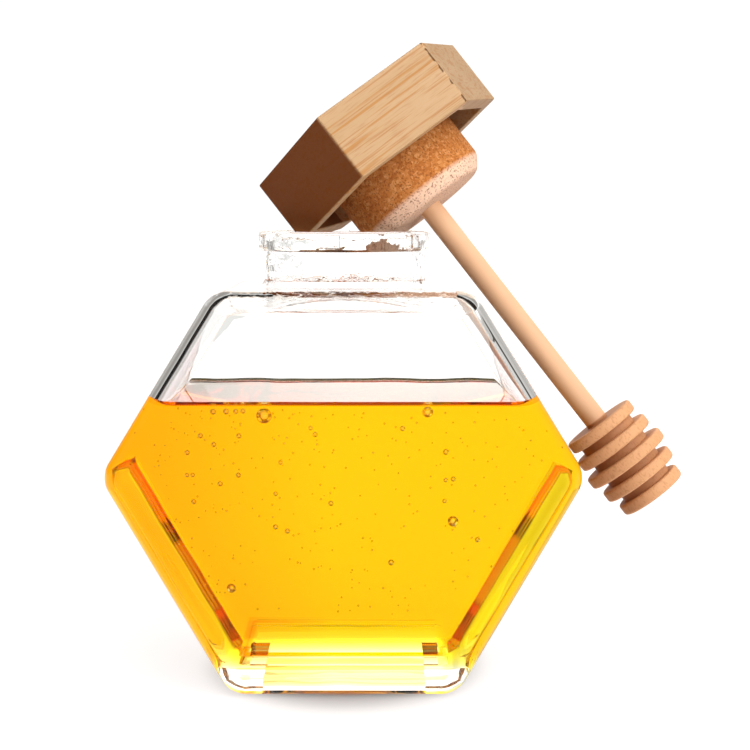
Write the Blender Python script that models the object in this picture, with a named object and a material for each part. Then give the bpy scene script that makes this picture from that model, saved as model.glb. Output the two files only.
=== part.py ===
"""Honey jar with its dipper cap set aside on the rim.

A clear glass jar with a six-sided front stands on one of its short sides and
holds honey. Its bamboo cap, with the cork plug and the turned wooden dipper
fixed in it, leans over the mouth: the dipper goes down outside the jar and its
head touches the slanted side.

Metres, +Z up. The origin is the middle of the jar's resting face, +X is to the
right of the front and the front looks to -Y.
"""

import math

import bmesh
import bpy
from mathutils import Matrix, Vector

# Touching pieces keep this gap.
GAP = 0.0003

# Jar body: a six-sided outline seen from the front, with its depth along Y.
BODY_HALF_WIDTH = 0.0614
SIDE_CORNER_Z = 0.0561
FOOT_HALF_WIDTH = 0.0291
SHOULDER_HALF_WIDTH = 0.0326
SHOULDER_Z = 0.1032
BODY_DEPTH = 0.0660
CORNER_RADIUS = 0.0070
FACE_EDGE_RADIUS = 0.0048

# Glass thickness at the slanted sides, front and back, base and shoulder.
SIDE_WALL = 0.0022
FACE_WALL = 0.0034
BASE_WALL = 0.0062
SHOULDER_WALL = 0.0022
INNER_CORNER_RADIUS = 0.0056
INNER_EDGE_RADIUS = 0.0045

# Neck, the collar round its top and the six pads on the collar.
MOUTH_RADIUS = 0.0196
NECK_RADIUS = 0.0215
COLLAR_RADIUS = 0.0232
COLLAR_HEIGHT = 0.0052
COLLAR_EDGE_RADIUS = 0.0012
NECK_FILLET = 0.0018
# The neck's flared foot starts this far below the shoulder's surface.
SUNK = 0.0001
RIM_Z = 0.1176
PAD_COUNT = 6
PAD_FIRST_ANGLE = math.radians(-97)
PAD_WIDTH = 0.0040
PAD_HEIGHT = 0.0036
PAD_RELIEF = 0.0004

HONEY_LEVEL_Z = 0.0743

# Cap: a six-sided block, hollow from below round the cork.
CAP_CORNER_RADIUS = 0.0327
CAP_HEIGHT = 0.0185
CAP_WALL = 0.0040
CAP_HOLLOW_DEPTH = 0.0130
CAP_EDGE_BEVEL = 0.0004

CORK_RADIUS = 0.0184
CORK_PROUD = 0.0130
CORK_CHAMFER_RADIAL = 0.0027
CORK_CHAMFER_AXIAL = 0.0036
CORK_BORE_DEPTH = 0.0120

# Dipper: a straight shaft and a head of five discs with grooves between them.
SHAFT_RADIUS = 0.0030
FIRST_DISC_DISTANCE = 0.0860
DISC_PITCH = 0.0052
DISC_THICKNESS = 0.0031
DISC_EDGE_RADIUS = 0.0007
DISC_RADII = (0.0099, 0.0107, 0.0115, 0.0104, 0.0091)
GROOVE_RADII = (0.0078, 0.0079, 0.0077, 0.0071)
HEAD_END_DOME = 0.0006

# How the cap leans: the middle of its underside, and its turns from upright.
CAP_SEAT = Vector((0.01458, -0.00228, 0.13384))
LEAN_ASIDE = math.radians(38.08)
LEAN_FORWARD = math.radians(6.53)
CAP_TURN = math.radians(13.76)

ROUND_SEGMENTS = 48
CORNER_SEGMENTS = 5
EDGE_SEGMENTS = 3


def clear_scene():
    for obj in list(bpy.data.objects):
        bpy.data.objects.remove(obj, do_unlink=True)


def material(name, colour, roughness, transmission=0.0, ior=1.5):
    made = bpy.data.materials.new(name)
    made.use_nodes = True
    shader = made.node_tree.nodes["Principled BSDF"]
    shader.inputs["Base Color"].default_value = (*colour, 1.0)
    shader.inputs["Roughness"].default_value = roughness
    shader.inputs["Metallic"].default_value = 0.0
    shader.inputs["Transmission Weight"].default_value = transmission
    shader.inputs["IOR"].default_value = ior
    made.diffuse_color = (*colour, 1.0)
    return made


def object_from(name, bm, finish=None, helper=False):
    """Makes an object of a finished bmesh, smooth except over its sharp edges."""
    bmesh.ops.remove_doubles(bm, verts=bm.verts, dist=1e-6)
    bmesh.ops.recalc_face_normals(bm, faces=bm.faces)
    mesh = bpy.data.meshes.new(name)
    bm.to_mesh(mesh)
    bm.free()
    mesh.shade_smooth()
    mesh.set_sharp_from_angle(angle=math.radians(35))
    obj = bpy.data.objects.new(name, mesh)
    bpy.context.scene.collection.objects.link(obj)
    if finish:
        mesh.materials.append(finish)
    if helper:
        obj.hide_render = True
        obj.display_type = "WIRE"
    return obj


def boolean(obj, other, operation):
    modifier = obj.modifiers.new(other.name, "BOOLEAN")
    modifier.operation = operation
    modifier.solver = "EXACT"
    modifier.object = other


def arc(centre, radius, start, end, segments):
    """Points of an arc from one angle to another, both ends included."""
    turns = [start + (end - start) * i / segments for i in range(segments + 1)]
    return [centre + radius * Vector((math.cos(t), math.sin(t))) for t in turns]


def line_crossing(point_a, along_a, point_b, along_b):
    across = along_a.cross(along_b)
    return point_a + along_a * ((point_b - point_a).cross(along_b) / across)


def moved_in(corners, walls):
    """The outline with each side moved in by its wall; corners run counter-clockwise."""
    count = len(corners)
    sides = []
    for i, wall in enumerate(walls):
        along = (corners[(i + 1) % count] - corners[i]).normalized()
        sides.append((corners[i] + wall * Vector((-along.y, along.x)), along))
    return [line_crossing(*sides[i - 1], *sides[i]) for i in range(count)]


def rounded(corners, radius):
    """The outline with every corner replaced by an arc of the radius."""
    points = []
    count = len(corners)
    for i, corner in enumerate(corners):
        back = (corners[i - 1] - corner).normalized()
        ahead = (corners[(i + 1) % count] - corner).normalized()
        half_angle = back.angle(ahead) / 2
        centre = corner + (back + ahead).normalized() * radius / math.sin(half_angle)
        start = math.atan2(back.x, -back.y)
        end = math.atan2(-ahead.x, ahead.y)
        if end < start:
            end += 2 * math.pi
        points += arc(centre, radius, start, end, CORNER_SEGMENTS)
    return points


def body_corners():
    """The jar's six sharp corners seen from the front, counter-clockwise from the foot's right."""
    return [
        Vector((FOOT_HALF_WIDTH, 0.0)),
        Vector((BODY_HALF_WIDTH, SIDE_CORNER_Z)),
        Vector((SHOULDER_HALF_WIDTH, SHOULDER_Z)),
        Vector((-SHOULDER_HALF_WIDTH, SHOULDER_Z)),
        Vector((-BODY_HALF_WIDTH, SIDE_CORNER_Z)),
        Vector((-FOOT_HALF_WIDTH, 0.0)),
    ]


def prism(outline, half_depth, edge_radius):
    """A front-to-back prism of the outline with its front and back edges rounded."""
    bm = bmesh.new()
    front = [bm.verts.new((p.x, -half_depth, p.y)) for p in outline]
    face = bm.faces.new(front)
    grown = bmesh.ops.extrude_face_region(bm, geom=[face])
    back = [item for item in grown["geom"] if isinstance(item, bmesh.types.BMVert)]
    bmesh.ops.translate(bm, verts=back, vec=(0, 2 * half_depth, 0))
    flat = [f for f in bm.faces if len(f.verts) == len(outline)]
    edges = list({edge for f in flat for edge in f.edges})
    bmesh.ops.bevel(
        bm, geom=edges, offset=edge_radius, segments=EDGE_SEGMENTS, profile=0.5, affect="EDGES"
    )
    return bm


def turned(profile):
    """A solid of revolution about Z of (radius, height) points."""
    bm = bmesh.new()
    points = [bm.verts.new((radius, 0, height)) for radius, height in profile]
    chain = [bm.edges.new(pair) for pair in zip(points, points[1:])]
    bmesh.ops.spin(
        bm,
        geom=points + chain,
        cent=(0, 0, 0),
        axis=(0, 0, 1),
        angle=2 * math.pi,
        steps=ROUND_SEGMENTS,
        use_merge=True,
    )
    return bm


def inner_corners(clearance=0.0):
    """The corners of the space inside the glass, moved further in by the clearance."""
    walls = [SIDE_WALL, SIDE_WALL, SHOULDER_WALL, SIDE_WALL, SIDE_WALL, BASE_WALL]
    return moved_in(body_corners(), [wall + clearance for wall in walls])


def neck_profile():
    """The neck's outer side from its flared foot in the shoulder to the rim, closed on the axis."""
    flare = arc(
        Vector((NECK_RADIUS + NECK_FILLET, SHOULDER_Z + NECK_FILLET - SUNK)),
        NECK_FILLET, 1.5 * math.pi, math.pi, EDGE_SEGMENTS,
    )
    collar_z = RIM_Z - COLLAR_HEIGHT
    inset = COLLAR_RADIUS - COLLAR_EDGE_RADIUS
    low = arc(
        Vector((inset, collar_z + COLLAR_EDGE_RADIUS)),
        COLLAR_EDGE_RADIUS, -0.5 * math.pi, 0.0, EDGE_SEGMENTS,
    )
    high = arc(
        Vector((inset, RIM_Z - COLLAR_EDGE_RADIUS)),
        COLLAR_EDGE_RADIUS, 0.0, 0.5 * math.pi, EDGE_SEGMENTS,
    )
    foot = SHOULDER_Z - SHOULDER_WALL / 2
    points = [(0, foot), (flare[0].x, foot)]
    points += [(p.x, p.y) for p in flare]
    points += [(NECK_RADIUS, collar_z)]
    points += [(p.x, p.y) for p in low + high]
    return points + [(0, RIM_Z)]


def collar_pads(body):
    """Fuses small raised pads onto the collar, evenly spaced round it."""
    middle_z = RIM_Z - COLLAR_HEIGHT / 2
    depth = 4 * PAD_RELIEF
    for i in range(PAD_COUNT):
        turn = PAD_FIRST_ANGLE + i * 2 * math.pi / PAD_COUNT
        bm = bmesh.new()
        bmesh.ops.create_cube(bm, size=1.0)
        bmesh.ops.scale(bm, verts=bm.verts, vec=(depth, PAD_WIDTH, PAD_HEIGHT))
        bmesh.ops.bevel(
            bm, geom=list(bm.edges), offset=PAD_RELIEF / 2, segments=1, affect="EDGES"
        )
        pad = object_from(f"collar_pad_{i}", bm, helper=True)
        reach = COLLAR_RADIUS + PAD_RELIEF - depth / 2
        pad.location = (reach * math.cos(turn), reach * math.sin(turn), middle_z)
        pad.rotation_euler.z = turn
        boolean(body, pad, "UNION")


def mouth_cutter():
    """The bore of the neck, from inside the body to above the rim, widened at the lip."""
    lip = arc(
        Vector((MOUTH_RADIUS + COLLAR_EDGE_RADIUS, RIM_Z - COLLAR_EDGE_RADIUS)),
        COLLAR_EDGE_RADIUS, math.pi, 0.5 * math.pi, EDGE_SEGMENTS,
    )
    foot = SHOULDER_Z - SHOULDER_WALL - 0.002
    top = RIM_Z + 0.002
    points = [(0, foot), (MOUTH_RADIUS, foot)]
    points += [(p.x, p.y) for p in lip]
    points += [(lip[-1].x, top), (0, top)]
    return object_from("mouth_cutter", turned(points), helper=True)


def jar_glass():
    finish = material("clear_glass", (0.96, 0.97, 0.96), 0.02, transmission=1.0, ior=1.52)
    outline = rounded(body_corners(), CORNER_RADIUS)
    body = object_from("jar_glass", prism(outline, BODY_DEPTH / 2, FACE_EDGE_RADIUS), finish)
    boolean(body, object_from("neck", turned(neck_profile()), helper=True), "UNION")
    collar_pads(body)
    inside = prism(
        rounded(inner_corners(), INNER_CORNER_RADIUS),
        BODY_DEPTH / 2 - FACE_WALL,
        INNER_EDGE_RADIUS,
    )
    boolean(body, object_from("inside_cutter", inside, helper=True), "DIFFERENCE")
    boolean(body, mouth_cutter(), "DIFFERENCE")
    return body


def honey():
    """The honey fills the space inside the glass up to its level."""
    finish = material("honey", (0.98, 0.62, 0.03), 0.05, transmission=0.6, ior=1.49)
    filling = prism(
        rounded(inner_corners(GAP), INNER_CORNER_RADIUS),
        BODY_DEPTH / 2 - FACE_WALL - GAP,
        INNER_EDGE_RADIUS,
    )
    cut = bmesh.ops.bisect_plane(
        filling,
        geom=filling.verts[:] + filling.edges[:] + filling.faces[:],
        plane_co=(0, 0, HONEY_LEVEL_Z),
        plane_no=(0, 0, 1),
        clear_outer=True,
    )
    rim = [item for item in cut["geom_cut"] if isinstance(item, bmesh.types.BMEdge)]
    bmesh.ops.contextual_create(filling, geom=rim)
    return object_from("honey", filling, finish)


def six_sided_block(corner_radius, low, high, bevel):
    """An upright six-sided block between two heights, its edges bevelled."""
    bm = bmesh.new()
    bmesh.ops.create_cone(
        bm, cap_ends=True, segments=6, radius1=corner_radius, radius2=corner_radius,
        depth=high - low,
    )
    bmesh.ops.rotate(bm, verts=bm.verts, matrix=Matrix.Rotation(math.pi / 2, 3, "Z"))
    bmesh.ops.translate(bm, verts=bm.verts, vec=(0, 0, (low + high) / 2))
    bmesh.ops.bevel(bm, geom=list(bm.edges), offset=bevel, segments=1, affect="EDGES")
    return bm


def cap_bamboo():
    finish = material("bamboo", (0.80, 0.58, 0.36), 0.55)
    cap = object_from(
        "cap_bamboo", six_sided_block(CAP_CORNER_RADIUS, 0, CAP_HEIGHT, CAP_EDGE_BEVEL), finish
    )
    hollow_radius = CAP_CORNER_RADIUS - CAP_WALL / math.cos(math.pi / 6)
    hollow = six_sided_block(hollow_radius, -CAP_WALL, CAP_HOLLOW_DEPTH, CAP_EDGE_BEVEL)
    cutter = object_from("cap_hollow", hollow, helper=True)
    cutter.parent = cap
    boolean(cap, cutter, "DIFFERENCE")
    return cap


def cork():
    """The plug in the cap, chamfered below and bored for the dipper's shaft."""
    finish = material("cork", (0.62, 0.36, 0.18), 0.85)
    bore = SHAFT_RADIUS + GAP
    top = CAP_HOLLOW_DEPTH - GAP
    profile = [
        (0, top),
        (CORK_RADIUS, top),
        (CORK_RADIUS, -CORK_PROUD + CORK_CHAMFER_AXIAL),
        (CORK_RADIUS - CORK_CHAMFER_RADIAL, -CORK_PROUD),
        (bore, -CORK_PROUD),
        (bore, -CORK_PROUD + CORK_BORE_DEPTH),
        (0, -CORK_PROUD + CORK_BORE_DEPTH),
    ]
    return object_from("cork", turned(profile), finish)


def disc_side(radius, middle):
    """A disc's rim, rounded at both edges, from its shaft side down."""
    half = DISC_THICKNESS / 2
    inset = radius - DISC_EDGE_RADIUS
    upper = arc(
        Vector((inset, middle + half - DISC_EDGE_RADIUS)),
        DISC_EDGE_RADIUS, 0.5 * math.pi, 0.0, 2,
    )
    lower = arc(
        Vector((inset, middle - half + DISC_EDGE_RADIUS)),
        DISC_EDGE_RADIUS, 0.0, -0.5 * math.pi, 2,
    )
    return [(p.x, p.y) for p in upper + lower]


def dipper():
    finish = material("dipper_wood", (0.83, 0.62, 0.43), 0.6)
    half = DISC_THICKNESS / 2
    top = -CORK_PROUD + CORK_BORE_DEPTH - GAP
    profile = [(0, top), (SHAFT_RADIUS, top), (SHAFT_RADIUS, -FIRST_DISC_DISTANCE + half)]
    for i, radius in enumerate(DISC_RADII):
        middle = -FIRST_DISC_DISTANCE - i * DISC_PITCH
        profile += disc_side(radius, middle)
        if i < len(GROOVE_RADII):
            groove = GROOVE_RADII[i]
            profile += [(groove, middle - half), (groove, middle - DISC_PITCH + half)]
    end = -FIRST_DISC_DISTANCE - (len(DISC_RADII) - 1) * DISC_PITCH - half
    profile += [(DISC_RADII[-1] / 2, end - 0.8 * HEAD_END_DOME), (0, end - HEAD_END_DOME)]
    return object_from("dipper", turned(profile), finish)


def leaning_cap():
    """The cap, cork and dipper share one axis and hang from one empty that leans."""
    seat = bpy.data.objects.new("cap_seat", None)
    seat.location = CAP_SEAT
    seat.rotation_euler = (-LEAN_FORWARD, -LEAN_ASIDE, 0)
    bpy.context.scene.collection.objects.link(seat)
    cap = cap_bamboo()
    cap.rotation_euler.z = CAP_TURN
    for piece in (cap, cork(), dipper()):
        piece.parent = seat


def main():
    clear_scene()
    jar_glass()
    honey()
    leaning_cap()
    bpy.context.view_layer.update()


main()
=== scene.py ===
"""The looks of the honey jar: clear glass, honey with its bubbles, bamboo cap, cork and dipper."""

import math
import random

import bmesh
import bpy
from mathutils import Euler, Matrix, Vector


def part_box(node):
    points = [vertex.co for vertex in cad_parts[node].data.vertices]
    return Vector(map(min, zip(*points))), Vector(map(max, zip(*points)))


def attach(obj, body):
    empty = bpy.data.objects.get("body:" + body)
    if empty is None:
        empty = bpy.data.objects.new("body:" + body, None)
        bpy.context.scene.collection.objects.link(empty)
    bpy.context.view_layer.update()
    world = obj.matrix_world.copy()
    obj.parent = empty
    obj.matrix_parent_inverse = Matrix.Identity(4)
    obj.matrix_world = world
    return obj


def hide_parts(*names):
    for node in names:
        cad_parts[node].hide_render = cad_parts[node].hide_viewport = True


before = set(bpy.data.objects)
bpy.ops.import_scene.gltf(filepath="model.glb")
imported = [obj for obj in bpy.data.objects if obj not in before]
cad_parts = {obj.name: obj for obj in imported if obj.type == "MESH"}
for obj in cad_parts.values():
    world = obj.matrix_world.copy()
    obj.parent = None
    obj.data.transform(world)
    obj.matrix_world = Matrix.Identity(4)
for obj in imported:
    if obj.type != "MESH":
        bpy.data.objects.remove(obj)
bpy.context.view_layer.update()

# The jar's outside, as the frame has it.
GLASS_LOW, GLASS_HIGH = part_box("jar_glass")
BODY_DEPTH = GLASS_HIGH.y - GLASS_LOW.y
RIM_Z = GLASS_HIGH.z
BODY_HALF_WIDTH = 0.0614
SIDE_CORNER_Z = 0.0561
FOOT_HALF_WIDTH = 0.0291
SHOULDER_HALF_WIDTH = 0.0326
SHOULDER_Z = 0.1032
CORNER_RADIUS = 0.0070
FACE_EDGE_RADIUS = 0.0048

# Its walls, and the shallow recess under the base with the raised floor above it.
SIDE_WALL = 0.0022
FACE_WALL = 0.0034
BASE_WALL = 0.0062
SHOULDER_WALL = 0.0022
INNER_CORNER_RADIUS = 0.0056
INNER_EDGE_RADIUS = 0.0045
PANEL_BORDER = 0.0004
RECESS_BORDER = 0.0040
RECESS_HALF_WIDTH = 0.0170
RECESS_DEPTH = 0.0022
RECESS_STEP = 0.0020
RECESS_RISES = (0.16, 0.22, 0.22, 0.18, 0.13, 0.09)
FLOOR_RISE = 0.0046
FLOOR_STEP = 0.0026
FLOOR_RISES = (0.08, 0.20, 0.26, 0.22, 0.16, 0.08)

# Neck and collar.
MOUTH_RADIUS = 0.0196
NECK_RADIUS = 0.0215
COLLAR_RADIUS = 0.0232
COLLAR_HEIGHT = 0.0052
COLLAR_EDGE_RADIUS = 0.0006
COLLAR_BULGE = 0.0006
COLLAR_ROWS = 8
NECK_FILLET = 0.0018
CEILING_FILLET = 0.0032
PAD_COUNT = 6
PAD_FIRST_ANGLE = math.radians(-97)
PAD_SIZE = Vector((0.0024, 0.0040, 0.0036))
PAD_RELIEF = 0.0004

# The honey reaches this far into the glass, and climbs the glass at its edge.
HONEY_OVERLAP = 0.00015
HONEY_LEVEL_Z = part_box("honey")[1].z
MENISCUS_RISE = 0.0012
MENISCUS_STEP = 0.00042
MENISCUS_FALLS = (0.34, 0.26, 0.18, 0.12, 0.07, 0.03)
BACK_RISE_SHARE = 0.5
FINE_BUBBLES = 300
FINE_RADII = (0.00018, 0.00022, 0.00026, 0.00032)
# The bubbles that show at the front: across, up and radius.
BUBBLES = (
    (-0.0198, 0.0718, 0.0020), (0.0212, 0.0728, 0.0014), (-0.0325, 0.0729, 0.0008),
    (-0.0292, 0.0730, 0.0008), (-0.0268, 0.0730, 0.0007), (-0.0250, 0.0731, 0.0007),
    (-0.0357, 0.0669, 0.0007), (-0.0261, 0.0668, 0.0007), (-0.0324, 0.0647, 0.0007),
    (-0.0391, 0.0626, 0.0007), (-0.0263, 0.0569, 0.0007), (-0.0392, 0.0569, 0.0006),
    (-0.0378, 0.0569, 0.0006), (-0.0070, 0.0671, 0.0007), (-0.0081, 0.0688, 0.0006),
    (0.0149, 0.0687, 0.0007), (0.0258, 0.0627, 0.0008), (0.0277, 0.0558, 0.0007),
    (0.0258, 0.0556, 0.0006), (0.0277, 0.0450, 0.0014), (0.0121, 0.0344, 0.0008),
    (0.0255, 0.0503, 0.0006), (0.0339, 0.0403, 0.0007), (-0.0376, 0.0501, 0.0007),
    (-0.0309, 0.0547, 0.0007), (-0.0157, 0.0601, 0.0006), (-0.0284, 0.0278, 0.0012),
    (-0.0031, 0.0496, 0.0007), (-0.0141, 0.0426, 0.0007), (-0.0171, 0.0436, 0.0007),
    (-0.0170, 0.0521, 0.0006),
)
GLASS_IOR = 1.5
HONEY_IOR = 1.49

# Cap, cork and dipper, upright about the axis that they share.
CAP_CORNER_RADIUS = 0.0327
CAP_HEIGHT = 0.0185
CAP_WALL = 0.0040
CAP_HOLLOW_DEPTH = 0.0130
CAP_EDGE_WIDTH = 0.0004
CORK_RADIUS = 0.0184
CORK_PROUD = 0.0130
CORK_CHAMFER_RADIAL = 0.0027
CORK_CHAMFER_AXIAL = 0.0036
CORK_OUTER_EDGE = 0.0010
CORK_END_EDGE = 0.0009
SHAFT_RADIUS = 0.0030
SHAFT_TOP = -0.0013
FIRST_DISC_DISTANCE = 0.0860
DISC_PITCH = 0.0052
DISC_THICKNESS = 0.0031
DISC_RADII = (0.0099, 0.0107, 0.0115, 0.0104, 0.0091)
GROOVE_RADII = (0.0078, 0.0079, 0.0077, 0.0071)
DISC_EDGE = 0.0007
HEAD_END_DOME = 0.0006

# How that axis leans against the rim.
CAP_SEAT = Vector((0.01458, -0.00228, 0.13384))
LEAN = Euler((math.radians(-6.53), math.radians(-38.08), 0))
CAP_TURN = math.radians(13.76)

# The floor ends this far in front of the jar's middle. Its glow fades under the jar into a painted
# shadow, tinted there with painted honey-coloured light.
FLOOR_FRONT = 0.10
SHADOW_SPREAD = (1 / 0.031, 1 / 0.036, 1)
PAINTED_HONEY_LIGHT = (1.6, 0.42, 0.08)

# What lights matt surfaces in the shade, and what the honey's surface takes from behind.
WARM_FILL = (0.26, 0.085, 0.022)
SURFACE_GLOW = (1.45, 1.10, 0.80)

# Brightness of the room round the jar: degrees from straight behind it, to the right, and value.
ROOM = (
    (-180, 1.25), (-120, 1.00), (-100, 0.75), (-88, 0.60), (-85, 0.02), (-64, 0.01),
    (-61, 0.85), (-58, 0.40), (-48, 0.32), (-36, 0.60), (-29, 1.05), (-9, 0.80),
    (-6.6, 1.00), (-1, 1.28), (29, 1.28), (36, 0.62), (48, 0.50), (58, 0.60),
    (62, 0.75), (65, 0.08), (73, 0.08), (76, 0.70), (110, 0.80), (140, 1.20), (180, 1.25),
)

# The camera's place, how far it looks down, and its lens.
CAMERA_PLACE = (0.008, -0.400, 0.1221)
CAMERA_DOWN = math.radians(6.16)
CAMERA_LENS = 71.7

# Steps round a full circle, a jar corner and a rounded edge, and the area that a flat panel passes.
ROUND_STEPS = 128
CORNER_STEPS = 10
EDGE_STEPS = 8
FLAT_AREA = 4e-4

WHITE = (1.0, 1.0, 1.0)
BLACK = (0.0, 0.0, 0.0)


def only(piece):
    """Selects the piece and nothing else."""
    bpy.ops.object.select_all(action="DESELECT")
    piece.select_set(True)
    bpy.context.view_layer.objects.active = piece


def settle(piece):
    """Puts the piece's place, turn and size into its mesh."""
    only(piece)
    bpy.ops.object.transform_apply(location=True, rotation=True, scale=True)


def edit(piece):
    only(piece)
    bpy.ops.object.mode_set(mode="EDIT")


def leave_edit():
    bpy.ops.object.mode_set(mode="OBJECT")


def pick(kind, wanted):
    """In edit mode, selects the faces, edges or corners that are wanted and nothing else."""
    bpy.ops.mesh.select_mode(type=kind)
    bpy.ops.mesh.select_all(action="DESELECT")
    mesh = bmesh.from_edit_mesh(bpy.context.edit_object.data)
    parts = {"FACE": mesh.faces, "EDGE": mesh.edges, "VERT": mesh.verts}[kind]
    for part in parts:
        if wanted(part):
            part.select = True
    mesh.select_flush_mode()
    bmesh.update_edit_mesh(bpy.context.edit_object.data)


def move(offset):
    bpy.ops.transform.translate(value=offset)


def extrude(offset):
    bpy.ops.mesh.extrude_region_move(TRANSFORM_OT_translate={"value": offset})


def resize(x, y, z=1.0, centre=(0, 0, 0)):
    bpy.ops.transform.resize(value=(x, y, z), center_override=centre)


def bevel(width, steps):
    bpy.ops.mesh.bevel(offset=width, segments=steps, affect="EDGES", clamp_overlap=False)


def on_ring(part, radius, height, slack=5e-5):
    """Whether an edge lies along the level circle of the radius at the height."""
    return all(
        abs(v.co.xy.length - radius) < slack and abs(v.co.z - height) < slack for v in part.verts
    )


def assign(piece, slot, wanted):
    """Gives the faces that are wanted the material in that slot."""
    edit(piece)
    pick("FACE", wanted)
    piece.active_material_index = slot
    bpy.ops.object.material_slot_assign()
    leave_edit()


def boolean(piece, other, operation):
    """Fuses or cuts the piece with another, which is used up."""
    only(piece)
    bpy.ops.object.modifier_add(type="BOOLEAN")
    modifier = piece.modifiers[-1]
    modifier.operation = operation
    modifier.solver = "EXACT"
    modifier.object = other
    bpy.ops.object.modifier_apply(modifier=modifier.name)
    bpy.data.objects.remove(other, do_unlink=True)


def smooth(piece, angle=35):
    """Shades round faces smooth and keeps flat ones flat up to their rounded edges."""
    only(piece)
    bpy.ops.object.shade_smooth_by_angle(angle=math.radians(angle))
    bpy.ops.object.modifier_add(type="WEIGHTED_NORMAL")
    piece.modifiers[-1].keep_sharp = True
    bpy.ops.object.modifier_apply(modifier=piece.modifiers[-1].name)


def dress(piece, *finishes):
    piece.data.materials.clear()
    for finish in finishes:
        piece.data.materials.append(finish)


def cylinder(name, radius, low, high, steps=ROUND_STEPS):
    bpy.ops.object.select_all(action="DESELECT")
    bpy.ops.mesh.primitive_cylinder_add(
        vertices=steps, radius=radius, depth=high - low, location=(0, 0, (low + high) / 2)
    )
    made = bpy.context.active_object
    made.name = name
    settle(made)
    return made


def body_sizes(wall, base, ceiling):
    """Half widths at the foot, belly and shoulder, and the belly's height, inside those walls."""
    lower_run = (BODY_HALF_WIDTH - FOOT_HALF_WIDTH) / SIDE_CORNER_Z
    upper_run = (BODY_HALF_WIDTH - SHOULDER_HALF_WIDTH) / (SHOULDER_Z - SIDE_CORNER_Z)
    lower_wall = wall * math.hypot(1, lower_run)
    upper_wall = wall * math.hypot(1, upper_run)
    foot = FOOT_HALF_WIDTH + base * lower_run - lower_wall
    shoulder = SHOULDER_HALF_WIDTH + ceiling * upper_run - upper_wall
    upper_reach = SHOULDER_HALF_WIDTH + SHOULDER_Z * upper_run - upper_wall
    lower_reach = FOOT_HALF_WIDTH - lower_wall
    belly_z = (upper_reach - lower_reach) / (lower_run + upper_run)
    belly = FOOT_HALF_WIDTH + belly_z * lower_run - lower_wall
    return foot, belly, shoulder, belly_z


def six_sided(name, wall, base, ceiling, half_depth, corner_radius, edge_radius):
    """A six-sided block inside those walls of the jar, with rounded corners and edges."""
    foot, belly, shoulder, belly_z = body_sizes(wall, base, ceiling)
    bpy.ops.object.select_all(action="DESELECT")
    bpy.ops.mesh.primitive_cube_add(
        size=1,
        location=(0, 0, (base + belly_z) / 2),
        scale=(2 * foot, 2 * half_depth, belly_z - base),
    )
    block = bpy.context.active_object
    block.name = name
    settle(block)
    edit(block)
    pick("FACE", lambda face: face.normal.z > 0.9)
    resize(belly / foot, 1)
    extrude((0, 0, SHOULDER_Z - ceiling - belly_z))
    resize(shoulder / belly, 1)
    pick("EDGE", lambda edge: edge.calc_face_angle(1.0) < 0.01)
    bpy.ops.mesh.dissolve_edges()
    pick("EDGE", lambda edge: abs(edge.verts[0].co.y - edge.verts[1].co.y) > half_depth)
    bevel(corner_radius / math.tan(math.radians(60)), CORNER_STEPS)
    pick("EDGE", lambda edge: abs(edge.verts[0].co.y - edge.verts[1].co.y) < half_depth)
    bevel(edge_radius, EDGE_STEPS)
    pick("FACE", lambda face: face.calc_area() > FLAT_AREA)
    bpy.ops.mesh.inset(thickness=PANEL_BORDER, use_individual=True)
    leave_edit()
    return block


def raise_floor(block):
    """Domes the middle of the floor that the honey stands on."""
    edit(block)
    pick("FACE", lambda face: face.normal.z < -0.9999)
    for share in FLOOR_RISES:
        bpy.ops.mesh.inset(thickness=FLOOR_STEP)
        move((0, 0, share * FLOOR_RISE))
    leave_edit()


def neck_block():
    """The neck from inside the shoulder up, with the wider collar round its top."""
    collar_z = RIM_Z - COLLAR_HEIGHT
    neck = cylinder("neck", NECK_RADIUS, SHOULDER_Z - 0.002, collar_z)
    edit(neck)
    pick("FACE", lambda face: face.normal.z > 0.9)
    extrude((0, 0, 0))
    edge_radius = COLLAR_RADIUS - COLLAR_BULGE
    resize(edge_radius / NECK_RADIUS, edge_radius / NECK_RADIUS)
    radius = edge_radius
    for i in range(COLLAR_ROWS):
        extrude((0, 0, COLLAR_HEIGHT / COLLAR_ROWS))
        share = 2 * (i + 1) / COLLAR_ROWS - 1
        grown = COLLAR_RADIUS - COLLAR_BULGE * share * share
        resize(grown / radius, grown / radius)
        radius = grown
    pick(
        "EDGE",
        lambda edge: on_ring(edge, edge_radius, collar_z) or on_ring(edge, edge_radius, RIM_Z),
    )
    bevel(COLLAR_EDGE_RADIUS, 5)
    leave_edit()
    return neck


def collar_pad(turn):
    """One small raised pad on the collar."""
    reach = COLLAR_RADIUS + PAD_RELIEF - PAD_SIZE.x / 2
    place = (reach * math.cos(turn), reach * math.sin(turn), RIM_Z - COLLAR_HEIGHT / 2)
    bpy.ops.object.select_all(action="DESELECT")
    bpy.ops.mesh.primitive_cube_add(size=1, location=place, rotation=(0, 0, turn), scale=PAD_SIZE)
    pad = bpy.context.active_object
    settle(pad)
    edit(pad)
    pick("EDGE", lambda edge: True)
    bevel(PAD_RELIEF * 0.9, 3)
    leave_edit()
    return pad


def round_ring(piece, radius, height, width):
    """Rounds the edge that runs along a level circle."""
    edit(piece)
    pick("EDGE", lambda edge: on_ring(edge, radius, height))
    bevel(width, EDGE_STEPS)
    leave_edit()


def press_recess(body):
    """Presses the shallow domed recess into the jar's underside."""
    edit(body)
    pick("FACE", lambda face: face.normal.z < -0.9999)
    bpy.ops.mesh.inset(thickness=RECESS_BORDER)
    low = FOOT_HALF_WIDTH - CORNER_RADIUS * math.tan(math.radians(30)) - RECESS_BORDER
    resize(RECESS_HALF_WIDTH / low, 1)
    for share in RECESS_RISES:
        bpy.ops.mesh.inset(thickness=RECESS_STEP)
        move((0, 0, share * RECESS_DEPTH))
    leave_edit()


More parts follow.
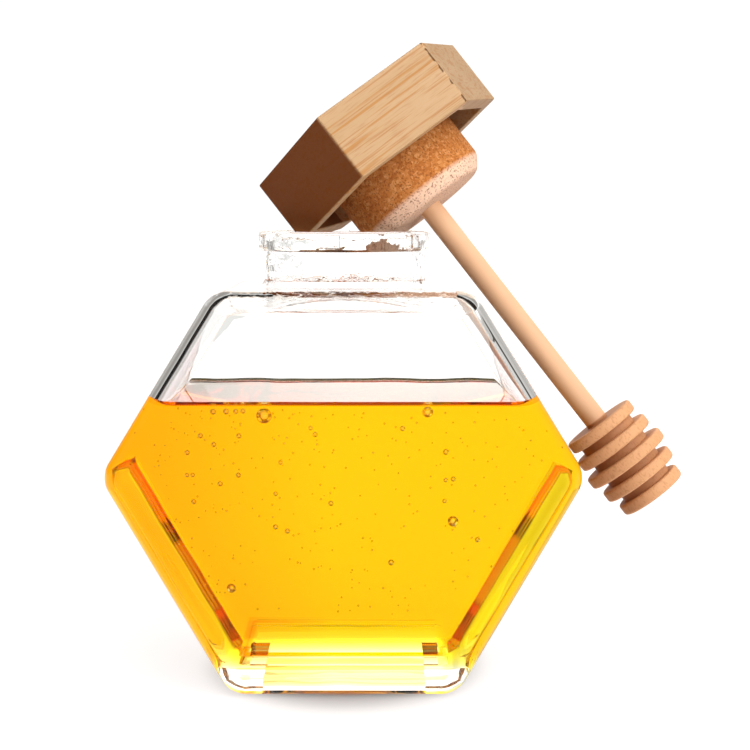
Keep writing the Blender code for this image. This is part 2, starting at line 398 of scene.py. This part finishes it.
def jar_glass(dry, wetted):
    """The jar; its inner wall has a finish of its own where the honey wets it."""
    body = six_sided("glass_jar", 0, 0, 0, BODY_DEPTH / 2, CORNER_RADIUS, FACE_EDGE_RADIUS)
    dress(body, dry, wetted)
    press_recess(body)
    boolean(body, neck_block(), "UNION")
    round_ring(body, NECK_RADIUS, SHOULDER_Z, NECK_FILLET)
    for i in range(PAD_COUNT):
        boolean(body, collar_pad(PAD_FIRST_ANGLE + i * 2 * math.pi / PAD_COUNT), "UNION")
    inside = six_sided(
        "jar_inside", SIDE_WALL, BASE_WALL, SHOULDER_WALL, BODY_DEPTH / 2 - FACE_WALL,
        INNER_CORNER_RADIUS, INNER_EDGE_RADIUS,
    )
    raise_floor(inside)
    ceiling_z = SHOULDER_Z - SHOULDER_WALL
    boolean(inside, cylinder("mouth", MOUTH_RADIUS, ceiling_z - 0.004, RIM_Z + 0.002), "UNION")
    round_ring(inside, MOUTH_RADIUS, ceiling_z, CEILING_FILLET)
    edit(inside)
    bpy.ops.mesh.select_all(action="SELECT")
    wet_z = HONEY_LEVEL_Z + MENISCUS_RISE
    bpy.ops.mesh.bisect(plane_co=(0, 0, wet_z), plane_no=(0, 0, 1))
    leave_edit()
    dress(inside, dry, wetted)
    assign(inside, 1, lambda face: face.calc_center_median().z < wet_z)
    boolean(body, inside, "DIFFERENCE")
    round_ring(body, MOUTH_RADIUS, RIM_Z, COLLAR_EDGE_RADIUS)
    smooth(body)
    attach(body, "root")
    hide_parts("jar_glass")
    return body


def honey(surface, against_glass):
    """The filling, a little into the glass all round, with its surface drawn up at the edge."""
    filling = six_sided(
        "honey_filling", SIDE_WALL - HONEY_OVERLAP, BASE_WALL - HONEY_OVERLAP, SHOULDER_WALL,
        BODY_DEPTH / 2 - FACE_WALL + HONEY_OVERLAP,
        INNER_CORNER_RADIUS + HONEY_OVERLAP, INNER_EDGE_RADIUS + HONEY_OVERLAP,
    )
    raise_floor(filling)
    edit(filling)
    bpy.ops.mesh.select_all(action="SELECT")
    bpy.ops.mesh.bisect(
        plane_co=(0, 0, HONEY_LEVEL_Z + MENISCUS_RISE),
        plane_no=(0, 0, 1),
        use_fill=True,
        clear_outer=True,
    )
    pick("FACE", lambda face: face.normal.z > 0.99)
    bpy.ops.mesh.inset(thickness=HONEY_OVERLAP)
    for share in MENISCUS_FALLS:
        bpy.ops.mesh.inset(thickness=MENISCUS_STEP)
        move((0, 0, -share * MENISCUS_RISE))
    pick("VERT", lambda v: v.co.z > HONEY_LEVEL_Z + 0.00005 and v.co.y > 0.02)
    resize(1, 1, BACK_RISE_SHARE, centre=(0, 0, HONEY_LEVEL_Z))
    leave_edit()
    smooth(filling, 50)
    dress(filling, surface, against_glass)
    inner = BODY_DEPTH / 2 - FACE_WALL
    assign(
        filling, 1,
        lambda face: face.calc_center_median().z < HONEY_LEVEL_Z - 0.0002
        or max(abs(v.co.y) for v in face.verts) > inner + HONEY_OVERLAP / 2
        or face.normal.z < 0.3,
    )
    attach(filling, "root")
    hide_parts("honey")
    return filling


def bubble(place, radius, steps):
    bpy.ops.object.select_all(action="DESELECT")
    bpy.ops.mesh.primitive_ico_sphere_add(subdivisions=steps, radius=radius, location=place)
    made = bpy.context.active_object
    settle(made)
    bpy.ops.object.shade_smooth()
    return made


def bubbles(finish):
    """Air caught in the honey: some bubbles near the front, and fine ones all through."""
    chance = random.Random(7)
    low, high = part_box("honey")
    clear = BODY_DEPTH / 2 - FACE_WALL - 0.0004
    made = []
    for x, z, radius in BUBBLES:
        steps = 3 if radius > 0.001 else 2
        made.append(bubble((x, -clear + radius + chance.uniform(0, 0.001), z), radius, steps))
    slope_low = (BODY_HALF_WIDTH - FOOT_HALF_WIDTH) / SIDE_CORNER_Z
    slope_high = (BODY_HALF_WIDTH - SHOULDER_HALF_WIDTH) / (SHOULDER_Z - SIDE_CORNER_Z)
    for _ in range(FINE_BUBBLES):
        z = low.z + 0.008 + (high.z - low.z - 0.0095) * chance.random() ** 0.6
        half = min(
            FOOT_HALF_WIDTH + z * slope_low,
            BODY_HALF_WIDTH - (z - SIDE_CORNER_Z) * slope_high,
        ) - 0.008
        x = half * (2 * chance.random() ** 1.25 - 1)
        y = -clear + 0.0008 + chance.random() ** 1.5 * 0.03
        made.append(bubble((x, y, z), chance.choice(FINE_RADII), 1))
    bpy.ops.object.select_all(action="DESELECT")
    for piece in made:
        piece.select_set(True)
    bpy.context.view_layer.objects.active = made[0]
    bpy.ops.object.join()
    air = bpy.context.active_object
    air.name = "honey_bubbles"
    dress(air, finish)
    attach(air, "root")
    return air


def lean(piece, turn=0.0):
    """Takes an upright piece to the place where the cap leans."""
    piece.matrix_world = (
        Matrix.Translation(CAP_SEAT) @ LEAN.to_matrix().to_4x4() @ Matrix.Rotation(turn, 4, "Z")
    )
    settle(piece)


def bamboo_cap(finish):
    """The six-sided cap, hollow from below."""
    cap = cylinder("cap_block", CAP_CORNER_RADIUS, 0, CAP_HEIGHT, steps=6)
    edit(cap)
    bpy.ops.mesh.select_all(action="SELECT")
    bpy.ops.transform.rotate(value=math.pi / 6, orient_axis="Z", center_override=(0, 0, 0))
    pick("FACE", lambda face: face.normal.z < -0.9)
    bpy.ops.mesh.inset(thickness=CAP_WALL)
    extrude((0, 0, CAP_HOLLOW_DEPTH))
    pick("EDGE", lambda edge: True)
    bevel(CAP_EDGE_WIDTH, 3)
    leave_edit()
    smooth(cap, 25)
    lean(cap, CAP_TURN)
    dress(cap, finish)
    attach(cap, "root")
    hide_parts("cap_bamboo")
    return cap


def cork(finish):
    """The plug, whose lower end is chamfered."""
    plug = cylinder("cork_plug", CORK_RADIUS, -CORK_PROUD, CAP_HOLLOW_DEPTH - 0.0002)
    edit(plug)
    pick("FACE", lambda face: face.normal.z < -0.9)
    bpy.ops.mesh.inset(thickness=CORK_CHAMFER_RADIAL)
    pick("VERT", lambda v: abs(v.co.xy.length - CORK_RADIUS) < 1e-5 and v.co.z < 0)
    move((0, 0, CORK_CHAMFER_AXIAL))
    pick("EDGE", lambda edge: on_ring(edge, CORK_RADIUS, -CORK_PROUD + CORK_CHAMFER_AXIAL))
    bevel(CORK_OUTER_EDGE, 4)
    pick("EDGE", lambda edge: on_ring(edge, CORK_RADIUS - CORK_CHAMFER_RADIAL, -CORK_PROUD))
    bevel(CORK_END_EDGE, 4)
    leave_edit()
    smooth(plug, 40)
    lean(plug)
    dress(plug, finish)
    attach(plug, "root")
    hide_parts("cork")
    return plug


def dipper(finish):
    """Turned in one piece: the shaft, then each disc and groove drawn down from its end."""
    half = DISC_THICKNESS / 2
    stick = cylinder("dipper_stick", SHAFT_RADIUS, -FIRST_DISC_DISTANCE + half, SHAFT_TOP)
    edit(stick)
    pick("FACE", lambda face: face.normal.z < -0.9)
    radius = SHAFT_RADIUS
    for i, disc in enumerate(DISC_RADII):
        extrude((0, 0, 0))
        resize(disc / radius, disc / radius)
        extrude((0, 0, -DISC_THICKNESS))
        radius = disc
        if i < len(GROOVE_RADII):
            extrude((0, 0, 0))
            resize(GROOVE_RADII[i] / radius, GROOVE_RADII[i] / radius)
            extrude((0, 0, DISC_THICKNESS - DISC_PITCH))
            radius = GROOVE_RADII[i]
    bpy.ops.mesh.inset(thickness=radius * 0.5)
    move((0, 0, -HEAD_END_DOME))
    for i, disc in enumerate(DISC_RADII):
        top = -FIRST_DISC_DISTANCE - i * DISC_PITCH + half
        pick(
            "EDGE",
            lambda edge, r=disc, z=top: on_ring(edge, r, z)
            or on_ring(edge, r, z - DISC_THICKNESS),
        )
        bevel(DISC_EDGE, 4)
    leave_edit()
    smooth(stick, 35)
    lean(stick)
    dress(stick, finish)
    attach(stick, "root")
    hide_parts("dipper")
    return stick


def blank(name):
    """A new material and its node tree, with one Principled shader."""
    made = bpy.data.materials.new(name)
    made.use_nodes = True
    return made, made.node_tree, made.node_tree.nodes["Principled BSDF"]


def add(tree, kind, **values):
    """Adds a node; a value named after a socket sets the socket, else the node's own setting."""
    made = tree.nodes.new("ShaderNode" + kind)
    for name, value in values.items():
        socket = made.inputs.get(name.replace("_", " "))
        if socket is None:
            setattr(made, name, value)
        else:
            socket.default_value = value
    return made


def reckoned(tree, kind, operation, *parts):
    """One step of arithmetic on the parts, each a socket or a value."""
    made = add(tree, kind, operation=operation)
    for i, part in enumerate(parts):
        if isinstance(part, bpy.types.NodeSocket):
            tree.links.new(part, made.inputs[i])
        else:
            made.inputs[i].default_value = part
    return made.outputs["Value" if operation in ("LENGTH", "DOT_PRODUCT") else 0]


def between(tree, value, start, end, most=1.0, least=0.0, ease="LINEAR"):
    """Goes from the least at the start to the most at the end."""
    made = add(
        tree, "MapRange", interpolation_type=ease,
        From_Min=start, From_Max=end, To_Min=least, To_Max=most,
    )
    tree.links.new(value, made.inputs["Value"])
    return made.outputs["Result"]


def split(tree, place):
    """The place's X, Y and Z."""
    axes = add(tree, "SeparateXYZ")
    tree.links.new(place, axes.inputs[0])
    return axes.outputs


def mixed(tree, share, low, high):
    """Blends two colours; the share and either colour can be a socket or a value."""
    made = add(tree, "Mix", data_type="RGBA")
    for i, value in ((0, share), (6, low), (7, high)):
        if isinstance(value, float):
            made.inputs[i].default_value = value
        elif isinstance(value, tuple):
            made.inputs[i].default_value = (*value, 1)
        else:
            tree.links.new(value, made.inputs[i])
    return made.outputs[2]


def ramp(tree, value, stops):
    """Colours along the value: position and colour of each stop."""
    made = add(tree, "ValToRGB")
    elements = made.color_ramp.elements
    elements.remove(elements[-1])
    elements[0].position = stops[0][0]
    elements[0].color = (*stops[0][1], 1)
    for position, colour in stops[1:]:
        elements.new(position).color = (*colour, 1)
    tree.links.new(value, made.inputs["Fac"])
    return made.outputs["Color"]


def grey(*stops):
    return [(position, (value, value, value)) for position, value in stops]


def noise(tree, place, scale=1.0, detail=2.0, rough=0.5):
    made = add(tree, "TexNoise", Scale=scale, Detail=detail, Roughness=rough)
    tree.links.new(place, made.inputs["Vector"])
    return made.outputs["Fac"]


def stretched(tree, place, scale):
    """The place with each axis scaled, so that a pattern on it is drawn out or squeezed."""
    made = add(tree, "Mapping")
    made.inputs["Scale"].default_value = scale
    tree.links.new(place, made.inputs["Vector"])
    return made.outputs["Vector"]


def bumped(tree, shader, height, distance, strength=1.0):
    bump = add(tree, "Bump", Strength=strength, Distance=distance)
    tree.links.new(height, bump.inputs["Height"])
    tree.links.new(bump.outputs["Normal"], shader.inputs["Normal"])


def object_place(tree):
    return add(tree, "TexCoord").outputs["Object"]


def cap_place(tree, turn=0.0):
    """Object coordinates turned so that the cap's axis is Z and its front face's grain is X."""
    upright = add(tree, "Mapping", vector_type="TEXTURE")
    turned = LEAN.to_matrix() @ Matrix.Rotation(turn, 3, "Z")
    upright.inputs["Location"].default_value = CAP_SEAT
    upright.inputs["Rotation"].default_value = turned.to_euler()
    tree.links.new(object_place(tree), upright.inputs["Vector"])
    return upright.outputs["Vector"]


def clear_glass(name, ior):
    """Clear glass, a little wavy all over and finely rippled from the shoulder up."""
    made, tree, shader = blank(name)
    shader.inputs["Base Color"].default_value = (0.99, 0.995, 0.99, 1)
    shader.inputs["Roughness"].default_value = 0.0
    shader.inputs["IOR"].default_value = ior
    shader.inputs["Specular Tint"].default_value = (0.2, 0.2, 0.2, 1)
    shader.inputs["Transmission Weight"].default_value = 1.0
    place = object_place(tree)
    waves = noise(tree, place, 70.0, 1.0)
    ripples = noise(tree, place, 320.0, 2.0)
    high = between(tree, split(tree, place)["Z"], SHOULDER_Z - 0.004, SHOULDER_Z + 0.002, 1.1)
    relief = reckoned(tree, "Math", "MULTIPLY_ADD", ripples, high, waves)
    bumped(tree, shader, relief, 0.0006, 0.25)
    return made


def golden_honey(name, ior):
    """Clear golden honey with painted shade: deeper at the left, and darker where its surface
    climbs the glass.
    """
    made, tree, shader = blank(name)
    axes = split(tree, object_place(tree))
    # Painted shade: towards the left the honey is tinted a deeper orange.
    left = between(tree, axes["X"], -0.003, -0.052)
    body = mixed(tree, left, WHITE, (0.97, 0.70, 0.5))
    # Painted shade where the surface climbs the glass: dark orange at the front, near black at the
    # back.
    front_to_back = between(tree, axes["Y"], -0.02, 0.02)
    edge = mixed(tree, front_to_back, (1.00, 0.56, 0.16), (0.012, 0.035, 0.045))
    painted_rim_shade = between(tree, axes["Z"], HONEY_LEVEL_Z + 0.00002, HONEY_LEVEL_Z + 0.0001)
    tree.links.new(mixed(tree, painted_rim_shade, body, edge), shader.inputs["Base Color"])
    shader.inputs["Roughness"].default_value = 0.0
    shader.inputs["IOR"].default_value = ior
    shader.inputs["Transmission Weight"].default_value = 1.0
    depth = add(tree, "VolumeAbsorption", Density=150.0)
    depth.inputs["Color"].default_value = (0.998, 0.932, 0.0, 1)
    tree.links.new(depth.outputs["Volume"], tree.nodes["Material Output"].inputs["Volume"])
    return made


def trapped_air():
    """Air inside honey, seen from outside the bubble."""
    made = bpy.data.materials.new("trapped_air")
    made.use_nodes = True
    tree = made.node_tree
    tree.nodes.remove(tree.nodes["Principled BSDF"])
    skin = add(tree, "BsdfGlass", Roughness=0.0, IOR=1 / HONEY_IOR)
    tree.links.new(skin.outputs[0], tree.nodes["Material Output"].inputs["Surface"])
    return made


def bamboo():
    """Pale strips with fibre bundles along the grain, which show as fine dots across it; painted
    shade darkens the faces left of the front one.
    """
    made, tree, shader = blank("bamboo")
    place = cap_place(tree, CAP_TURN)
    axes = split(tree, place)
    tone = noise(tree, stretched(tree, place, (14, 90, 160)), detail=3.0)
    colour = ramp(tree, tone, [(0.3, (0.53, 0.37, 0.195)), (0.7, (0.60, 0.435, 0.25))])
    streak = noise(tree, stretched(tree, place, (22, 500, 900)), detail=1.0)
    lines = ramp(tree, streak, grey((0.57, 0.0), (0.66, 0.75)))
    colour = mixed(tree, lines, colour, (0.50, 0.24, 0.06))
    hair = noise(tree, stretched(tree, place, (34, 1100, 1700)), detail=1.0)
    hairlines = ramp(tree, hair, grey((0.58, 0.0), (0.65, 0.6)))
    colour = mixed(tree, hairlines, colour, (0.46, 0.21, 0.06))
    fibre = noise(tree, stretched(tree, place, (190, 2400, 2400)), detail=1.0)
    dots = ramp(tree, fibre, grey((0.52, 0.0), (0.66, 0.32)))
    colour = mixed(tree, dots, colour, (0.42, 0.20, 0.08))
    # The front face's ends, with a dark broken seam at the right one.
    end = 0.0163
    right = between(tree, axes["X"], end, end + 0.0005, 0.42)
    colour = mixed(tree, right, colour, (0.20, 0.12, 0.05))
    dashes = ramp(tree, noise(tree, place, 420.0, 1.0), grey((0.50, 0.0), (0.55, 0.85)))
    seam = mixed(tree, between(tree, axes["X"], end - 0.0005, end - 0.0003), BLACK, dashes)
    seam = mixed(tree, between(tree, axes["X"], end + 0.0002, end + 0.0001), BLACK, seam)
    colour = mixed(tree, seam, colour, (0.10, 0.04, 0.015))
    # Painted shade: the faces left of the front face turn deep brown, all but the rim at the cap's
    # underside.
    brown = mixed(tree, 0.92, colour, (0.21, 0.058, 0.0))
    brown = mixed(tree, between(tree, axes["X"], -end, -end - 0.0005), colour, brown)
    colour = mixed(tree, between(tree, axes["Z"], 0.0002, 0.0005), colour, brown)
    tree.links.new(colour, shader.inputs["Base Color"])
    shader.inputs["Roughness"].default_value = 0.55
    shader.inputs["Specular IOR Level"].default_value = 0.15
    bumped(tree, shader, fibre, 0.00005, 0.4)
    return made


def pressed_cork():
    """Granules of several browns with dark specks between them, paler at the chamfered end."""
    made, tree, shader = blank("pressed_cork")
    place = cap_place(tree)
    grain = add(tree, "TexVoronoi", Scale=1300.0)
    tree.links.new(place, grain.inputs["Vector"])
    granule = add(tree, "SeparateColor")
    tree.links.new(grain.outputs["Color"], granule.inputs[0])
    browns = [
        (0.0, (0.40, 0.125, 0.025)), (0.35, (0.52, 0.19, 0.045)), (0.7, (0.58, 0.24, 0.065)),
        (1.0, (0.72, 0.38, 0.14)),
    ]
    colour = ramp(tree, granule.outputs[0], browns)
    cloud = ramp(tree, noise(tree, place, 160.0, 3.0), grey((0.3, 0.0), (0.75, 0.5)))
    colour = mixed(tree, cloud, colour, (0.60, 0.26, 0.075))
    edge = -CORK_PROUD + CORK_CHAMFER_AXIAL
    end = between(tree, split(tree, place)["Z"], edge + 0.0006, edge - 0.0006, 0.65)
    colour = mixed(tree, end, colour, (1.0, 0.84, 0.68))
    speck = noise(tree, place, 2000.0, 2.0, 0.6)
    dark = ramp(tree, speck, grey((0.54, 0.0), (0.64, 0.75)))
    colour = mixed(tree, dark, colour, (0.22, 0.07, 0.02))
    tree.links.new(colour, shader.inputs["Base Color"])
    shader.inputs["Roughness"].default_value = 0.85
    shader.inputs["Specular IOR Level"].default_value = 0.15
    bumped(tree, shader, speck, -0.0002, 0.7)
    return made


def dipper_wood():
    """Pale turned wood: short fine pores on the head, whose grooves carry painted shade, darker on
    the left.
    """
    made, tree, shader = blank("dipper_wood")
    place = cap_place(tree)
    axes = split(tree, place)
    tone = noise(tree, stretched(tree, place, (120, 120, 18)), detail=3.0)
    colour = ramp(tree, tone, [(0.3, (0.74, 0.47, 0.28)), (0.7, (0.80, 0.54, 0.33))])
    head = between(tree, axes["Z"], -0.0835, -0.0840)
    colour = mixed(tree, head, colour, (0.69, 0.39, 0.195))
    pore = noise(tree, stretched(tree, place, (2200, 2200, 1100)), detail=1.0)
    dots = ramp(tree, pore, grey((0.54, 0.0), (0.66, 0.45)))
    pores = reckoned(tree, "Math", "MULTIPLY", dots, head)
    colour = mixed(tree, pores, colour, (0.48, 0.22, 0.08))
    # Painted shade in the grooves between the discs, full on the left side and about a third as
    # strong on the right.
    across = reckoned(tree, "VectorMath", "MULTIPLY", place, (1, 1, 0))
    radius = reckoned(tree, "VectorMath", "LENGTH", across)
    groove = between(tree, radius, 0.0088, 0.0078, 0.75)
    painted_groove_shade = reckoned(tree, "Math", "MULTIPLY", groove, head)
    dark = mixed(tree, painted_groove_shade, colour, (0.30, 0.10, 0.03))
    light = mixed(tree, 0.35, colour, dark)
    colour = mixed(tree, between(tree, axes["X"], 0.0075, -0.001), light, dark)
    tree.links.new(colour, shader.inputs["Base Color"])
    shader.inputs["Roughness"].default_value = 0.55
    shader.inputs["Specular IOR Level"].default_value = 0.25
    return made


def floor():
    """A pale floor that glows evenly, except under the jar, where a painted shadow makes it dim and
    painted light makes it honey-brown.
    """
    bpy.ops.object.select_all(action="DESELECT")
    bpy.ops.mesh.primitive_plane_add(size=8, location=(0, 4 - FLOOR_FRONT, -0.0002))
    made = bpy.context.active_object
    settle(made)
    made.name = "floor"
    finish, tree, shader = blank("pale_floor")
    shader.inputs["Base Color"].default_value = (0.32, 0.32, 0.32, 1)
    shader.inputs["Roughness"].default_value = 0.8
    shader.inputs["Specular IOR Level"].default_value = 0.1
    place = stretched(tree, object_place(tree), SHADOW_SPREAD)
    away = reckoned(tree, "VectorMath", "LENGTH", place)
    # Painted shadow: the glow fades under the jar.
    glow = between(tree, away, 0.80, 1.35, 0.82, 0.22, "SMOOTHSTEP")
    tree.links.new(glow, shader.inputs["Emission Strength"])
    # Painted light: honey-brown under the jar, as if shone through the honey.
    under = between(tree, away, 0.84, 0.70)
    tree.links.new(mixed(tree, under, WHITE, PAINTED_HONEY_LIGHT), shader.inputs["Emission Color"])
    made.data.materials.append(finish)
    made.visible_diffuse = False


def softbox(tree, way, middle, radius, blur, strength):
    """A round soft light in the direction, which fades out over the blur; angles in degrees."""
    aim = reckoned(tree, "VectorMath", "DOT_PRODUCT", way, Vector(middle).normalized())
    outer = math.cos(math.radians(radius + blur))
    inner = math.cos(math.radians(radius))
    return between(tree, aim, outer, inner, strength, ease="SMOOTHSTEP")


def total(tree, parts):
    """The sum of the sockets."""
    so_far = parts[0]
    for part in parts[1:]:
        so_far = reckoned(tree, "Math", "ADD", so_far, part)
    return so_far


def tuned(bright):
    """The room's colour at that brightness: white where it is bright, a little brown where dim."""
    dim = max(0.0, 1 - bright)
    return (bright, bright * (1 - 0.06 * dim), bright * (1 - 0.16 * dim))


def round_the_room(tree, way):
    """How bright the room is round the jar, by the direction's angle from straight behind it."""
    axes = split(tree, way)
    level = reckoned(tree, "Math", "ARCTAN2", axes["X"], axes["Y"])
    polar = reckoned(tree, "Math", "ARCCOSINE", axes["Y"])
    as_left = reckoned(tree, "Math", "MULTIPLY", polar, -1.0)
    turn = add(tree, "Mix")
    tree.links.new(between(tree, axes["Z"], 0.40, 0.50, ease="SMOOTHSTEP"), turn.inputs[0])
    tree.links.new(level, turn.inputs[2])
    tree.links.new(as_left, turn.inputs[3])
    share = between(tree, turn.outputs[0], -math.pi, math.pi)
    return ramp(tree, share, [((angle + 180) / 360, tuned(bright)) for angle, bright in ROOM])


def studio_light():
    """White behind the jar, a key light from the upper right and a dark room at the left."""
    world = bpy.data.worlds.new("studio")
    bpy.context.scene.world = world
    world.use_nodes = True
    tree = world.node_tree
    sky = tree.nodes["Background"]
    sky.inputs["Strength"].default_value = 1.0
    way = add(tree, "TexCoord").outputs["Generated"]
    key = softbox(tree, way, (0.45, -0.66, 0.60), 24, 10, 4.2)
    overhead = softbox(tree, way, (0.0, 0.2, 1.0), 24, 20, 1.2)
    behind = softbox(tree, way, (0.1, 1.0, 0.55), 22, 8, 0.45)
    bounce = softbox(tree, way, (0.6, -0.5, -0.8), 34, 20, 1.3)
    lighting = total(tree, [key, overhead, behind, bounce])
    warm = reckoned(tree, "VectorMath", "ADD", lighting, WARM_FILL)
    glow = reckoned(tree, "VectorMath", "MULTIPLY", behind, SURFACE_GLOW)
    seen = reckoned(tree, "VectorMath", "ADD", round_the_room(tree, way), glow)
    rays = add(tree, "LightPath")
    through = mixed(tree, rays.outputs["Is Diffuse Ray"], seen, warm)
    shown = mixed(tree, rays.outputs["Is Camera Ray"], through, (1.05, 1.05, 1.05))
    tree.links.new(shown, sky.inputs["Color"])
    bpy.context.scene.view_settings.view_transform = "Standard"


def camera():
    """The photo's viewpoint: in front, about level with the rim, looking a little down."""
    made = bpy.data.objects.new("camera", bpy.data.cameras.new("camera"))
    bpy.context.scene.collection.objects.link(made)
    made.location = CAMERA_PLACE
    made.rotation_euler = (math.radians(90) - CAMERA_DOWN, 0, 0)
    made.data.lens = CAMERA_LENS
    made.data.sensor_width = 36
    made.data.clip_start = 0.01
    bpy.context.scene.camera = made


camera()
studio_light()
floor()
bpy.context.scene.cycles.max_bounces = 32
bpy.context.scene.cycles.glossy_bounces = 32
bpy.context.scene.cycles.transmission_bounces = 32
jar_glass(
    clear_glass("clear_glass", GLASS_IOR), clear_glass("wetted_glass", GLASS_IOR / HONEY_IOR)
)
honey(golden_honey("golden_honey", HONEY_IOR), golden_honey("honey_on_glass", 1.0))
bubbles(trapped_air())
bamboo_cap(bamboo())
cork(pressed_cork())
dipper(dipper_wood())
